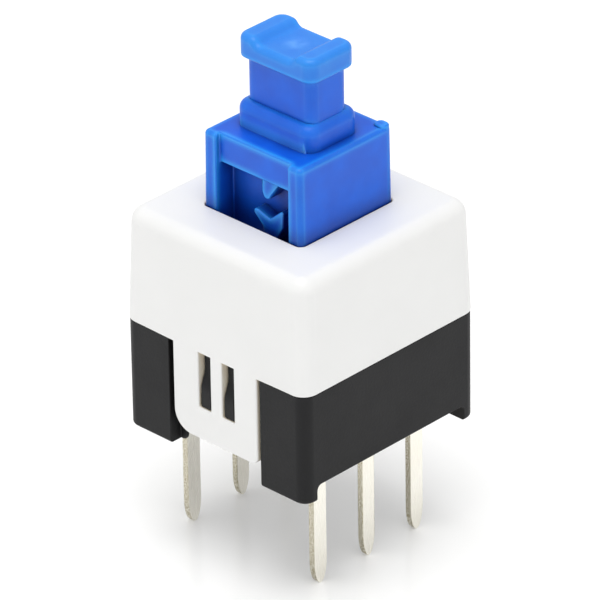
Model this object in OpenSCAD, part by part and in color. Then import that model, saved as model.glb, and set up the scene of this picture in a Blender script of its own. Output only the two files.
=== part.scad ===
// Latching push button switch for a circuit board: a white cover clipped on a black base, a blue plunger with
// a heart-cam track, a bent wire that latches in the track, a return spring, six blade terminals and two
// sliding contact clips. Origin: centre of the body, on the board that the base's feet stand on. +Z is up,
// -Y is the front, where the cam track is. All sizes are in millimetres.

/* [Cover] */
// Width of the cover at its seam, left to right
cover_w = 7.14; // [6.6:0.02:8.5]
// Depth of the cover at its seam, front to rear
cover_d = 7.14; // [6.6:0.02:8.5]
// How far each face of the cover leans in from the seam up to the roof's edge
draft = 0.1; // [0:0.01:0.14]
// Height of the cover's top above the board
cover_top = 7.05; // [6.4:0.05:8]
// Thickness of the cover's side walls
cover_wall = 0.5; // [0.44:0.02:0.6]
// Thickness of the cover's roof
cover_roof = 0.75; // [0.4:0.05:0.9]
// Radius of the upright corners of cover and base at the seam
corner_r = 0.52; // [0.4:0.02:0.8]
// Radius along the edge of the cover's roof
roof_edge_r = 0.4; // [0.1:0.05:0.4]
// Height of the seam between cover and base above the board
seam_z = 3.48; // [3.3:0.02:3.8]

/* [Tongues] */
// Width of a tongue
tongue_w = 3.26; // [3:0.02:3.6]
// How far a tongue sits to the right of the middle, seen from outside
tongue_shift = 0.07; // [0:0.01:0.1]
// Thickness of a tongue
tongue_t = 0.41; // [0.3:0.01:0.42]
// Height of a tongue's lower end above the board
tongue_end_z = 0.66; // [0.5:0.02:0.9]
// Lower corner radius of a tongue, on the left seen from outside
tongue_left_r = 0.65; // [0.1:0.05:0.8]
// Lower corner radius of a tongue, on the right seen from outside
tongue_right_r = 0.25; // [0.1:0.05:0.8]
// Width of each slot in a tongue
slot_w = 0.48; // [0.36:0.02:0.56]
// Height of each slot, down from the seam
slot_h = 1.8; // [1.4:0.05:2]
// Distance between the middles of a tongue's two slots
slot_spacing = 0.92; // [0.8:0.02:1.3]
// How far the pair of slots sits to the right of the middle, seen from outside
slot_shift = 0.12; // [0:0.01:0.15]
// How far a catching barb stands out of the base at its thick end
barb_out = 0.33; // [0.2:0.01:0.36]

/* [Base] */
// How far the base's faces stand in from the cover's
base_step = 0.05; // [0.02:0.01:0.08]
// Height of the corner feet, which is also the gap under the floor
foot_h = 0.5; // [0.3:0.05:0.7]
// Length of a foot, front to rear
foot_l = 0.5; // [0.4:0.05:0.8]
// Width of a foot, left to right
foot_w = 2.0; // [1.7:0.05:2.4]
// Thickness of the base's floor
floor_t = 0.7; // [0.66:0.02:0.9]
// Thickness of the base's front and rear walls
end_wall = 0.81; // [0.7:0.01:0.85]
// Height of the collar that stands up inside the cover
collar_h = 0.8; // [0.5:0.05:1.2]

/* [Terminals] */
// Distance between the two rows of terminals
row_spacing = 5.0; // [4.9:0.05:5.2]
// Distance between neighbouring terminals in a row
pitch = 2.0; // [1.9:0.05:2.1]
// Width of a terminal's blade
blade_w = 0.5; // [0.4:0.02:0.6]
// Thickness of a terminal
blade_t = 0.2; // [0.15:0.01:0.25]
// Length of a blade below the board
blade_below = 3.5; // [3:0.1:5]
// Length of the rounded point of a blade
point_l = 0.75; // [0.5:0.05:1]

/* [Plunger] */
// Width of the plunger's block, left to right
block_w = 3.75; // [3.5:0.05:3.9]
// Depth of the plunger's block, front to rear
block_d = 3.72; // [3.5:0.02:3.9]
// Height of the lintel over the cam track
lintel_h = 0.92; // [0.5:0.02:1.4]
// How far the lintel is set back from the front pillars
lintel_set_back = 0.17; // [0.1:0.01:0.25]
// Width of the opening between the front pillars
track_w = 2.78; // [2.7:0.02:2.9]
// Depth of the track's floor behind the front pillars
track_depth = 0.69; // [0.55:0.01:0.8]
// Width of the tier on the block
tier_w = 2.94; // [2.5:0.02:3.3]
// Depth of the tier on the block
tier_d = 2.06; // [1.6:0.02:2.4]
// Height of the tier
tier_h = 0.78; // [0.5:0.02:1.2]
// Radius along the tier's upper edge
tier_edge_r = 0.28; // [0.1:0.02:0.36]
// Width of the neck
neck_w = 2.56; // [1.8:0.02:2.6]
// Depth of the neck
neck_d = 1.48; // [1:0.02:1.54]
// Height of the neck
neck_h = 1.37; // [1:0.01:2]
// Width of the head
head_w = 2.9; // [2.6:0.02:3.3]
// Depth of the head
head_d = 1.86; // [1.6:0.02:2.4]
// Height of the head at its two raised bars
head_h = 0.68; // [0.5:0.02:0.9]
// Width of the saddle between the raised bars
saddle_w = 1.4; // [0.8:0.05:1.6]
// Depth of the saddle
saddle_depth = 0.2; // [0.05:0.01:0.3]

/* [Latch] */
// Full stroke of the plunger
stroke = 2.2; // [2:0.05:2.4]
// Stroke at which the plunger is held down
held_stroke = 1.45; // [1.4:0.01:1.5]
// Diameter of the latch wire
wire_d = 0.3; // [0.24:0.02:0.32]
// How far the hook swings to each side of its pivot
swing = 1.0; // [0.96:0.01:1.04]
// Place of the wire's pivot to the right of the middle
pivot_x = 0.17; // [0.14:0.01:0.2]
// Height of the pivot above the floor's underside
pivot_h = 0.35; // [0.32:0.01:0.38]

/* [Return spring] */
// Mean radius of the coils
coil_r = 0.95; // [0.85:0.01:1]
// Diameter of the spring wire
coil_wire = 0.22; // [0.16:0.01:0.24]
// Number of turns, the two closed ends included
coil_turns = 7; // [5:1:8]

/* [Contact clips] */
// Thickness of the clips' strip
clip_t = 0.1; // [0.08:0.01:0.12]
// Width of each of the three fingers
finger_w = 0.6; // [0.4:0.05:0.7]

/* [Hidden] */
$fn = 48;
fit = 0.05;              // sliding clearance between mouldings
snug = 0.02;             // clearance between pieces that stay put
collar_fit = 0.03;       // clearance between the base's collar and the cover's walls
eps = 0.01;              // overlap of a cutter past the face that it cuts
inner_r = 0.2;           // radius of upright corners inside the cover and on the plunger's block
block_edge_r = 0.1;      // radius along the upper edge of the plunger's block
tier_corner_r = 0.4;     // radius of the tier's upright corners
stem_corner_r = 0.3;     // radius of the upright corners of neck and head
bar_edge_r = 0.25;       // radius along the head's raised bars

base_w = cover_w - 2 * base_step;
base_d = cover_d - 2 * base_step;
shoulder_z = seam_z - snug;
floor_z = foot_h + floor_t;
spring_post_h = 0.9;
spring_post_air = 0.2;   // between the post and the coils
ceiling_z = cover_top - cover_roof;
cavity_x = row_spacing / 2 + blade_t / 2 + snug;
cavity_y = base_d / 2 - end_wall;
recess_air = 0.15;       // beside a tongue
recess_w = tongue_w + 2 * recess_air;
recess_y = cover_d / 2 - tongue_t - fit;
collar_w = cover_w - 2 * (cover_wall + collar_fit);
collar_d = cover_d - 2 * (cover_wall + collar_fit);
collar_top_z = shoulder_z + collar_h;
roof_r = min(roof_edge_r, corner_r - draft - 0.02);  // the roof's edge is less round than the corner under it

wire_r = wire_d / 2;
hook_air = 0.15;                                 // least air above and below the hook
hook_z = ceiling_z - hook_air - wire_r;          // axis of the hook at the two ends of its swing
pivot_z = foot_h + pivot_h;
lean = atan(swing / (hook_z - pivot_z));         // the wire's tilt from upright at rest
arm_l = norm([swing, hook_z - pivot_z]);         // pivot axis to hook axis
wire_gap = 0.245;                                // between the upright wire and the plunger
wire_y = -block_d / 2 - wire_gap - wire_r;
wire_bend_r = 0.3;
pivot_l = 0.6;                                   // part of the wire that turns in the base's bore

skirt_air = 0.1;                                 // between the pressed plunger and the floor
skirt_z = floor_z + stroke + skirt_air;          // lower end of the plunger at rest
track_low_z = hook_z - wire_r - 0.1;
track_top_z = hook_z + stroke + wire_r + hook_air;
block_top_z = track_top_z + lintel_h;
tier_top_z = block_top_z + tier_h;
neck_top_z = tier_top_z + neck_h;
head_top_z = neck_top_z + head_h;
bore_roof = 0.25;                                // between the spring's bore and the track
bore_top_z = track_low_z - bore_roof;
bore_r = coil_r + coil_wire / 2 + 0.14;
terminal_face_x = row_spacing / 2 - blade_t / 2; // inner face of the contact plates
ear_out = terminal_face_x - block_w / 2 - 0.075; // the ears stop the plunger under the cover's roof
ear_h = 0.73;
ear_w = 2.4;

clip_lift = 1.05;                                // from the plunger's lower end up to a clip's plate
clip_plate_h = 0.75;
clip_plate_low_z = skirt_z + clip_lift;
clip_plate_top_z = clip_plate_low_z + clip_plate_h;
clip_w = 3.2;                                    // front to rear
clip_air = 0.03;                                 // between a clip's noses and the contact plates
nose_lift = 0.4;
nose_z = skirt_z + nose_lift;                    // middle of the clip's contact nose at rest
finger_y = 1.35;                                 // front and rear fingers, from the middle
stud_r = 0.18;                                   // stud that carries a clip
stud_z = clip_plate_low_z + clip_plate_h / 2;

flag_inner_y = 1.0;                              // inner edge of the front and rear contact plates
middle_plate_w = 0.9;                            // width of the middle contact plate
nose_margin = 0.6;                               // contact plate above and below a resting nose
plate_top_z = nose_z + nose_margin;
rear_flag_low_z = nose_z - nose_margin;
landing_h = 0.35;                                // contact plate above a front nose that is held down
front_flag_top_z = nose_z - held_stroke + landing_h;
plate_low_z = floor_z + fit;

// ---- shared shapes ----

// Rectangle with round corners, centred
module round_rect(w, d, r) {
    square([w - 2 * r, d], center = true);
    square([w, d - 2 * r], center = true);
    for (x = [-1, 1], y = [-1, 1])
        translate([x * (w / 2 - r), y * (d / 2 - r)]) circle(r);
}

// Upright block with round upright corners, from z = 0
module round_block(w, d, h, r) {
    linear_extrude(h) round_rect(w, d, r);
}

// Section (X, Z) of a block that is 2 * half wide and h high: its sides lean in by lean_in, its top edges are
// rounded by e
module block_section(half, h, e, lean_in) {
    flat = half - lean_in - e;
    polygon([[-half, 0], [half, 0], [half - lean_in, h - e], [lean_in - half, h - e]]);
    translate([-flat, 0]) square([2 * flat, h]);
    for (s = [-1, 1]) translate([s * flat, h - e]) circle(e);
}

// Upright block with corners of radius r and that section both ways; w, d and r are measured at z = 0
module round_topped(w, d, h, r, e, lean_in = 0) {
    for (x = [-1, 1], y = [-1, 1])
        translate([x * (w / 2 - r), y * (d / 2 - r), 0]) rotate_extrude() intersection() {
            block_section(r, h, e, lean_in);
            square([r, h]);
        }
    run_y(r - d / 2, d / 2 - r) block_section(w / 2, h, e, lean_in);
    rotate(90) run_y(r - w / 2, w / 2 - r) block_section(d / 2, h, e, lean_in);
}

// Turns an outline drawn as (Y, Z) into a plate that is centred on X = 0
module plate_yz(t) {
    rotate([90, 0, 90]) linear_extrude(t, center = true) children();
}

// Turns an outline drawn as (X, Z) into a cutter or rib from y0 to y1
module run_y(y0, y1) {
    translate([0, y1, 0]) rotate([90, 0, 0]) linear_extrude(y1 - y0) children();
}

// Repeats a shape made for the front face on the rear face
module front_and_rear() {
    children();
    rotate(180) children();
}

// ---- cover ----

// Outline of a tongue seen from outside, with its two slots
module tongue_outline() {
    top = seam_z + eps;
    difference() {
        translate([tongue_shift, 0]) union() {
            translate([-tongue_w / 2, tongue_end_z + tongue_left_r])
                square([tongue_w, top - tongue_end_z - tongue_left_r]);
            translate([-tongue_w / 2 + tongue_left_r, tongue_end_z])
                square([tongue_w - tongue_left_r - tongue_right_r, top - tongue_end_z]);
            translate([tongue_w / 2 - tongue_right_r - eps, tongue_end_z + tongue_right_r])
                square([tongue_right_r + eps, top - tongue_end_z - tongue_right_r]);
            translate([-tongue_w / 2 + tongue_left_r, tongue_end_z + tongue_left_r]) circle(tongue_left_r);
            translate([tongue_w / 2 - tongue_right_r, tongue_end_z + tongue_right_r]) circle(tongue_right_r);
        }
        for (s = [-1, 1])
            translate([slot_shift + s * slot_spacing / 2 - slot_w / 2, seam_z - slot_h])
                square([slot_w, slot_h + 2 * eps]);
    }
}

module cover() {
    color("white") {
        difference() {
            translate([0, 0, seam_z])
                round_topped(cover_w, cover_d, cover_top - seam_z, corner_r, roof_r, draft);
            translate([0, 0, seam_z - eps])
                round_block(cover_w - 2 * cover_wall, cover_d - 2 * cover_wall,
                            ceiling_z - seam_z + eps, inner_r);
            translate([0, 0, ceiling_z - eps])
                round_block(block_w + 2 * fit, block_d + 2 * fit, cover_roof + 2 * eps, inner_r);
        }
        front_and_rear() run_y(-cover_d / 2, -cover_d / 2 + tongue_t) tongue_outline();
    }
}

// ---- base ----

// Side view (Y, Z) of a barb: thin at the top, an S-shaped ramp, and a flat ledge below
module barb_outline() {
    low = seam_z - slot_h + fit;
    top = seam_z - 0.15;
    thin = 0.08;
    steps = 8;
    ramp_from = 0.72;    // the ramp's ends, as shares of the barb's height
    ramp_to = 0.32;
    ramp = [for (i = [0:steps]) [
        -recess_y - thin - (barb_out - thin) * (1 - cos(180 * i / steps)) / 2,
        low + (top - low) * (ramp_from + (ramp_to - ramp_from) * i / steps)]];
    polygon(concat([[-recess_y + eps, top], [-recess_y - thin, top - 0.05]], ramp,
                   [[-recess_y - barb_out, low], [-recess_y + eps, low]]));
}

// Everything that is moulded round the outside of the base, before it is hollowed
module base_outside() {
    translate([0, 0, foot_h]) round_block(base_w, base_d, shoulder_z - foot_h, corner_r);
    translate([0, 0, shoulder_z - eps]) round_block(collar_w, collar_d, collar_h + eps, 0.15);
    intersection() {
        round_block(base_w, base_d, foot_h + eps, corner_r);
        front_and_rear() run_y(-base_d / 2, foot_l - base_d / 2)
            for (s = [-1, 1]) scale([s, 1]) foot_outline();
    }
}

// Front view of the right foot, whose inner lower corner is round
module foot_outline() {
    inner_x = base_w / 2 - foot_w;
    low_r = 0.2;
    translate([inner_x, low_r]) square([foot_w, foot_h + eps - low_r]);
    translate([inner_x + low_r, 0]) square([foot_w - low_r, foot_h]);
    translate([inner_x + low_r, low_r]) circle(low_r);
}

// Slots in the floor for the six terminals
module terminal_slots() {
    for (x = [-1, 1], y = [-1, 0, 1])
        translate([x * row_spacing / 2, y * pitch, floor_z / 2])
            cube([blade_t + 2 * snug, blade_w + 2 * snug, floor_z + 1], center = true);
}

// Pocket and blind bore in the floor for the latch wire's lower end
module pivot_seat() {
    side_air = 0.17;     // lets the wire lean to both sides
    pocket_front = wire_y - wire_r - fit;
    pocket_rear = wire_y + wire_bend_r;
    translate([pivot_x - wire_r - side_air, pocket_front, pivot_z - wire_r - fit])
        cube([wire_d + 2 * side_air, pocket_rear - pocket_front, floor_z]);
    translate([pivot_x, pocket_rear - eps, pivot_z]) rotate([-90, 0, 0])
        cylinder(h = pivot_l + 0.1, r = wire_r + snug);
}

// Ribs inside the front and rear walls that guide the plunger
module guide_ribs() {
    rib_y = block_d / 2 + fit;
    rib_x = 1.5;
    rib_w = 0.4;
    for (s = [-1, 1])
        translate([s * rib_x - rib_w / 2, -cavity_y - eps, floor_z - eps])
            cube([rib_w, cavity_y - rib_y + eps, collar_top_z - floor_z + eps]);
}

// Low walls between neighbouring terminals
module dividers() {
    air = 0.085;         // to the contact plates on both sides
    thick = 0.16;
    gap = flag_inner_y - middle_plate_w / 2;
    for (s = [-1, 1], y = [-1, 1])
        translate([s * (cavity_x - thick / 2 + eps), y * (flag_inner_y - gap / 2),
                   (floor_z - eps + collar_top_z) / 2])
            cube([thick, gap - 2 * air, collar_top_z - floor_z + eps], center = true);
}

module base() {
    color([0.16, 0.16, 0.17]) {
        difference() {
            base_outside();
            translate([-cavity_x, -cavity_y, floor_z]) cube([2 * cavity_x, 2 * cavity_y, cover_top]);
            front_and_rear() translate([-recess_w / 2, -cover_d, -eps])
                cube([recess_w, cover_d - recess_y, seam_z + eps]);
            terminal_slots();
            pivot_seat();
        }
        front_and_rear() {
            for (s = [-1, 1])
                translate([slot_shift + s * slot_spacing / 2, 0, 0])
                    plate_yz(slot_w - 2 * fit) barb_outline();
            guide_ribs();
        }
        dividers();
        translate([0, 0, floor_z - eps])
            cylinder(h = spring_post_h, r = coil_r - coil_wire / 2 - spring_post_air);
    }
}

// ---- plunger ----

// Heart-shaped island of the cam, seen from the front, with its notch on the axis of the held hook
module heart_outline() {
    notch_z = hook_z + held_stroke - wire_r - 0.03;
    polygon([[0.4, notch_z], [-0.08, notch_z + 0.17], [-0.2, notch_z + 0.13], [-0.2, notch_z + 0.02],
             [0.12, notch_z - 0.3], [0.3, hook_z + wire_r + 0.21], [0.5, hook_z + wire_r + 0.21],
             [0.93, notch_z - 0.12], [0.95, notch_z + 0.38], [0.86, notch_z + 0.4]]);
}

// Tooth that hangs from the lintel and sends the hook round the heart
module tooth_outline() {
    tip_z = track_top_z - 0.64;
    polygon([[0.12, track_top_z + eps], [0.12, tip_z + 0.2], [0.2, tip_z + 0.04], [0.32, tip_z],
             [0.42, tip_z + 0.06], [0.93, track_top_z + eps]]);
}

// The track that the hook of the latch wire follows
module cam_track() {
    island_y = -block_d / 2 + lintel_set_back + 0.1;     // front face of the heart and the tooth
    opening_h = track_top_z - track_low_z;
    translate([-track_w / 2, -block_d, track_low_z])
        cube([track_w, block_d / 2 + lintel_set_back, block_top_z]);
    translate([-track_w / 2, -block_d / 2, track_low_z])
        cube([track_w, island_y + block_d / 2, opening_h]);
    run_y(island_y - eps, -block_d / 2 + track_depth) difference() {
        translate([-track_w / 2, track_low_z]) square([track_w, opening_h]);
        heart_outline();
        tooth_outline();
    }
}

// Side of the head: a slab with two raised bars that have round tops
module head_profile() {
    bar_w = (head_w - saddle_w) / 2;
    edge_r = min(bar_edge_r, bar_w / 2 - 0.02, saddle_depth + 0.1);
    translate([-head_w / 2, 0]) square([head_w, head_h - saddle_depth]);
    for (s = [-1, 1]) translate([s * (saddle_w + bar_w) / 2, 0]) {
        translate([-bar_w / 2, 0]) square([bar_w, head_h - edge_r]);
        translate([-bar_w / 2 + edge_r, 0]) square([bar_w - 2 * edge_r, head_h]);
        for (t = [-1, 1]) translate([t * (bar_w / 2 - edge_r), head_h - edge_r]) circle(edge_r);
    }
}

module head() {
    intersection() {
        round_block(head_w, head_d, head_h, stem_corner_r);
        run_y(-head_d, head_d) head_profile();
    }
}

// Shallow seats and studs on the plunger's sides for the contact clips
module clip_seats() {
    for (s = [-1, 1]) translate([s * block_w / 2 - clip_t, -clip_w / 2 - fit, skirt_z - eps])
        cube([2 * clip_t, clip_w + 2 * fit, clip_plate_top_z + fit - skirt_z + eps]);
}

module clip_studs() {
    for (s = [-1, 1]) translate([s * (block_w / 2 - clip_t - eps), 0, stud_z])
        rotate([0, s * 90, 0]) cylinder(h = 1.6 * clip_t + eps, r = stud_r);
}

module plunger() {
    color([0.08, 0.36, 0.86]) {
        difference() {
            union() {
                translate([0, 0, skirt_z])
                    round_topped(block_w, block_d, block_top_z - skirt_z, inner_r, block_edge_r);
                translate([0, 0, ceiling_z - snug - ear_h / 2])
                    cube([block_w + 2 * ear_out, ear_w, ear_h], center = true);
            }
            cam_track();
            translate([0, 0, skirt_z - eps]) cylinder(h = bore_top_z - skirt_z + eps, r = bore_r);
            clip_seats();
        }
        translate([0, 0, block_top_z - eps])
            round_topped(tier_w, tier_d, tier_h + eps, tier_corner_r, tier_edge_r);
        translate([0, 0, tier_top_z - eps]) round_block(neck_w, neck_d, neck_h + 2 * eps, stem_corner_r);
        translate([0, 0, neck_top_z]) head();
        clip_studs();
    }
}

// ---- return spring ----

function coil_height(t, height, end_rise) =
    t < 1 ? t * end_rise
    : t > coil_turns - 1 ? height - (coil_turns - t) * end_rise
    : end_rise + (t - 1) * (height - 2 * end_rise) / (coil_turns - 2);

module return_spring() {
    steps = 20;
    sides = 8;
    height = bore_top_z - floor_z - coil_wire - 2 * snug;
    rings = coil_turns * steps;
    points = [for (k = [0:rings], j = [0:sides - 1])
        let (a = 360 * k / steps, b = 360 * j / sides,
             r = coil_r + coil_wire / 2 * cos(b),
             z = coil_height(k / steps, height, coil_wire + 0.03) + coil_wire / 2 * sin(b))
        [r * cos(a), r * sin(a), z]];
    sides_faces = [for (k = [0:rings - 1], j = [0:sides - 1], half = [0, 1])
        let (n = (j + 1) % sides, p = k * sides, q = p + sides)
        half == 0 ? [p + j, q + j, q + n] : [p + j, q + n, p + n]];
    ends = [[for (j = [0:sides - 1]) j], [for (j = [sides - 1:-1:0]) rings * sides + j]];
    color([0.75, 0.76, 0.78]) translate([0, 0, floor_z + coil_wire / 2 + snug])
        polyhedron(points, concat(sides_faces, ends), convexity = 8);
}

// ---- latch wire ----

// Quarter bend in the (Y, Z) plane: from an arm that points to +Y into an upright, for the lower end
module wire_bend() {
    rotate([90, 0, 90]) rotate_extrude(angle = 90) translate([wire_bend_r, 0]) circle(wire_r, $fn = 24);
}

module wire_run(length) {
    cylinder(h = length, r = wire_r, $fn = 24);
}

module latch_pin() {
    bend_y = wire_y + wire_bend_r;
    hook_tip_y = -block_d / 2 + track_depth - 0.1;
    color([0.72, 0.73, 0.75]) translate([pivot_x, 0, pivot_z]) rotate([0, -lean, 0]) {
        translate([0, bend_y, 0]) rotate([-90, 0, 0]) wire_run(pivot_l);
        translate([0, bend_y, wire_bend_r]) rotate([180, 0, 0]) wire_bend();
        translate([0, wire_y, wire_bend_r]) wire_run(arm_l - 2 * wire_bend_r);
        translate([0, bend_y, arm_l - wire_bend_r]) rotate([90, 0, 0]) wire_bend();
        translate([0, bend_y, arm_l]) rotate([-90, 0, 0]) wire_run(hook_tip_y - bend_y);
    }
}

// ---- terminals ----

// Blade with a rounded, blunt point, drawn as (Y, Z) about its own centre line
module blade_outline(top) {
    arc_r = (point_l * point_l + blade_w * blade_w / 4) / blade_w;
    shoulder = -blade_below + point_l * 0.94;
    translate([-blade_w / 2, shoulder - eps]) square([blade_w, top - shoulder + eps]);
    intersection() {
        translate([arc_r - blade_w / 2, shoulder]) circle(arc_r, $fn = 96);
        translate([blade_w / 2 - arc_r, shoulder]) circle(arc_r, $fn = 96);
        translate([-blade_w / 2, -blade_below]) square([blade_w, point_l]);
    }
}

// One terminal; place is -1 for front, 0 for middle and 1 for rear
module terminal(side, place) {
    color([0.80, 0.79, 0.74]) translate([side * row_spacing / 2, 0, 0]) plate_yz(blade_t) {
        if (place == 0) {
            blade_outline(plate_top_z);
            translate([-middle_plate_w / 2, plate_low_z]) square([middle_plate_w, plate_top_z - plate_low_z]);
        } else {
            flag_low = place < 0 ? plate_low_z : rear_flag_low_z;
            flag_top = place < 0 ? front_flag_top_z : plate_top_z;
            outer_y = pitch + blade_w / 2;
            translate([place * pitch, 0]) blade_outline(flag_top);
            translate([place < 0 ? -outer_y : flag_inner_y, flag_low])
                square([outer_y - flag_inner_y, flag_top - flag_low]);
        }
    }
}

// ---- contact clips ----

// Points along the middle of the clip's strip, as (X, Z) from the plunger's middle
function clip_line() =
    let (plate_x = block_w / 2 - clip_t / 2, nose_r = 0.25,
         nose_x = terminal_face_x - clip_air - clip_t / 2 - nose_r)
    concat([[plate_x, clip_plate_low_z], [plate_x, clip_plate_low_z - 0.05]],
           [for (a = [50:-10:-60]) [nose_x + nose_r * cos(a), nose_z + nose_r * sin(a)]]);

// Outline of a strip of thickness t along a line of points
function across(line, i) =
    let (a = line[max(i - 1, 0)], b = line[min(i + 1, len(line) - 1)], d = b - a)
    [-d[1], d[0]] / norm(d);
function strip(line, t) =
    concat([for (i = [0:len(line) - 1]) line[i] + across(line, i) * t / 2],
           [for (i = [len(line) - 1:-1:0]) line[i] - across(line, i) * t / 2]);

module contact_clip() {
    plate_x = block_w / 2 - clip_t / 2;
    color([0.83, 0.68, 0.36]) {
        difference() {
            translate([plate_x, 0, stud_z]) cube([clip_t, clip_w, clip_plate_h], center = true);
            translate([plate_x - clip_t, 0, stud_z])
                rotate([0, 90, 0]) cylinder(h = 2 * clip_t, r = stud_r + snug);
        }
        for (y = [-finger_y, 0, finger_y])
            run_y(y - finger_w / 2, y + finger_w / 2) polygon(strip(clip_line(), clip_t));
    }
}

cover();
base();
plunger();
return_spring();
latch_pin();
terminal(-1, -1);  // terminal_left_front
terminal(-1, 0);  // terminal_left_middle
terminal(-1, 1);  // terminal_left_rear
terminal(1, -1);  // terminal_right_front
terminal(1, 0);  // terminal_right_middle
terminal(1, 1);  // terminal_right_rear
rotate(180) contact_clip();  // contact_left
contact_clip();  // contact_right
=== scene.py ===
# %% [markdown]
# # A latching push button switch
#
# This lesson dresses a small switch for a circuit board. The real one is a white cover clipped on a black
# base, with a blue plunger that locks down at one push and comes up at the next, and six flat terminals
# underneath. The construction is already there as a fixed frame of plain solids. Here each visible piece is
# modelled again with the soft edges of a moulding or a stamping, and gets its own finish.

import math

import bmesh
import bpy
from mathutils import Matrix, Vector


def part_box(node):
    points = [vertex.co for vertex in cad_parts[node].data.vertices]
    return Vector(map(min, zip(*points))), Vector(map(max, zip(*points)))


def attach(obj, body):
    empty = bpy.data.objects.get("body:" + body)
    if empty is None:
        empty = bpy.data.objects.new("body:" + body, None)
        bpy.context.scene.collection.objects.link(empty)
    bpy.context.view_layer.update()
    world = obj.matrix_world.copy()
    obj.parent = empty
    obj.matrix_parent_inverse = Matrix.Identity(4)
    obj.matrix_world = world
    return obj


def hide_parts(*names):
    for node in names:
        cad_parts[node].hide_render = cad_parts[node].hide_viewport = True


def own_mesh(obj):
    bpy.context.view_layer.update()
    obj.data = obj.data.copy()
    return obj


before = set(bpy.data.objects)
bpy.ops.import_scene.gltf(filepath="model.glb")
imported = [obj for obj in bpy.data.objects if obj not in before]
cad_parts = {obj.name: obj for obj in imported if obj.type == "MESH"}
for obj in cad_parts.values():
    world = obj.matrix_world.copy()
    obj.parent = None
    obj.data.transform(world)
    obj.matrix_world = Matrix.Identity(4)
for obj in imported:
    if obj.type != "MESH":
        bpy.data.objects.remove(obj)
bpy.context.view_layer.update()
print("nodes:", ", ".join(sorted(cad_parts)))

# %% [markdown]
# Everything on this switch is between a twentieth of a millimetre and a few millimetres, and Blender's
# modelling tools merge and clamp at fixed small distances. So the pieces are modelled in millimetres, and
# each finished piece is shrunk to metres at the very end, in one step.

# %% Sizes in millimetres
MM = 0.001


def box_mm(node):
    """Lowest and highest corner of a node of the frame, in millimetres."""
    low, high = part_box(node)
    return low / MM, high / MM


cover_low, cover_high = box_mm("cover")
base_high = box_mm("base")[1]
plunger_low, plunger_high = box_mm("plunger")
pin_low, pin_high = box_mm("terminal_right_front")
print("cover, mm:", [round(v, 2) for v in cover_high - cover_low])
print("plunger, mm:", [round(v, 2) for v in plunger_high - plunger_low])

# %% [markdown]
# ## The camera
#
# A long lens from far away keeps upright edges nearly parallel, as product pictures do. The camera stands
# to the front right and looks down by thirty degrees. It is rolled by about a degree, so its axes are
# turned in the picture plane before they are put together.

# %% Place the camera
def place_camera(place, azimuth, elevation, roll, lens):
    """Adds a camera at a place in millimetres. Angles are in degrees: round, down and rolled."""
    a, e, r = (math.radians(v) for v in (azimuth, elevation, roll))
    right = Vector((math.cos(a), math.sin(a), 0))
    back = Vector((math.sin(a) * math.cos(e), -math.cos(a) * math.cos(e), math.sin(e)))
    up = back.cross(right)
    across = math.cos(r) * right - math.sin(r) * up
    upward = math.sin(r) * right + math.cos(r) * up
    data = bpy.data.cameras.new("studio_camera")
    data.lens = lens
    data.sensor_width = 36
    data.sensor_fit = "HORIZONTAL"
    data.clip_start = 0.01
    data.clip_end = 20
    camera = bpy.data.objects.new("studio_camera", data)
    bpy.context.scene.collection.objects.link(camera)
    for row in range(3):
        for column, axis in enumerate((across, upward, back)):
            camera.matrix_world[row][column] = axis[row]
    camera.matrix_world.translation = Vector(place) * MM
    bpy.context.scene.camera = camera
    return camera


camera = place_camera(
    (117.956, -121.269, 99.134), azimuth=44.207, elevation=29.382, roll=0.902, lens=411.63)
print("camera distance, mm:", round(camera.matrix_world.translation.length / MM))

# %% [markdown]
# ## Floor and light
#
# The switch stands on its six terminals on a white, slightly glossy board. The board is faintly lit from
# inside like a light table, so that the shadow under the switch stays soft and pale. A bright, even
# surrounding gives white plastic its soft look. A large lamp overhead adds direction, and two weaker ones on
# the front left and the right lift the side faces. The plain Standard view keeps the plastics' own colours.

# %% Floor and lamps
floor_z = pin_low.z


def set_or_link(tree, socket, value):
    """Sets a socket, or links it if the value is a socket itself."""
    if isinstance(value, bpy.types.NodeSocket):
        tree.links.new(value, socket)
    else:
        socket.default_value = value


def feed(tree, node, **values):
    """Feeds a node's inputs by name. An underscore stands for a space."""
    for label, value in values.items():
        set_or_link(tree, node.inputs[label.replace("_", " ")], value)


def white_floor():
    """Adds the board that the switch stands on."""
    bpy.ops.object.select_all(action="DESELECT")
    bpy.ops.mesh.primitive_plane_add(size=3, location=(0, 0, floor_z * MM))
    floor = bpy.context.object
    floor.name = "floor"
    material = bpy.data.materials.new("white_board")
    material.use_nodes = True
    feed(material.node_tree, material.node_tree.nodes["Principled BSDF"],
         Base_Color=(0.93, 0.93, 0.925, 1), Roughness=0.16,
         Emission_Color=(1, 1, 1, 1), Emission_Strength=0.155)
    floor.data.materials.append(material)


def lamp(name, place, size, power):
    """Adds a square area lamp that points at the switch. Place and size are in metres."""
    data = bpy.data.lights.new(name, "AREA")
    data.size = size
    data.energy = power
    light = bpy.data.objects.new(name, data)
    light.location = place
    light.rotation_euler = (-Vector(place)).to_track_quat("-Z", "Y").to_euler()
    bpy.context.scene.collection.objects.link(light)


def surrounding(strength):
    """Even white light from all sides."""
    world = bpy.data.worlds.new("white_room")
    world.use_nodes = True
    feed(world.node_tree, world.node_tree.nodes["Background"], Color=(1, 1, 1, 1), Strength=strength)
    bpy.context.scene.world = world


white_floor()
surrounding(0.70)
lamp("overhead_softbox", (0.03, -0.08, 0.52), size=0.40, power=1.50)
lamp("front_left_softbox", (-0.30, -0.45, 0.30), size=0.30, power=0.14)
lamp("right_softbox", (0.45, 0.00, 0.30), size=0.30, power=0.15)
bpy.context.scene.view_settings.view_transform = "Standard"
print("floor at", round(floor_z, 2), "mm")

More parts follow.
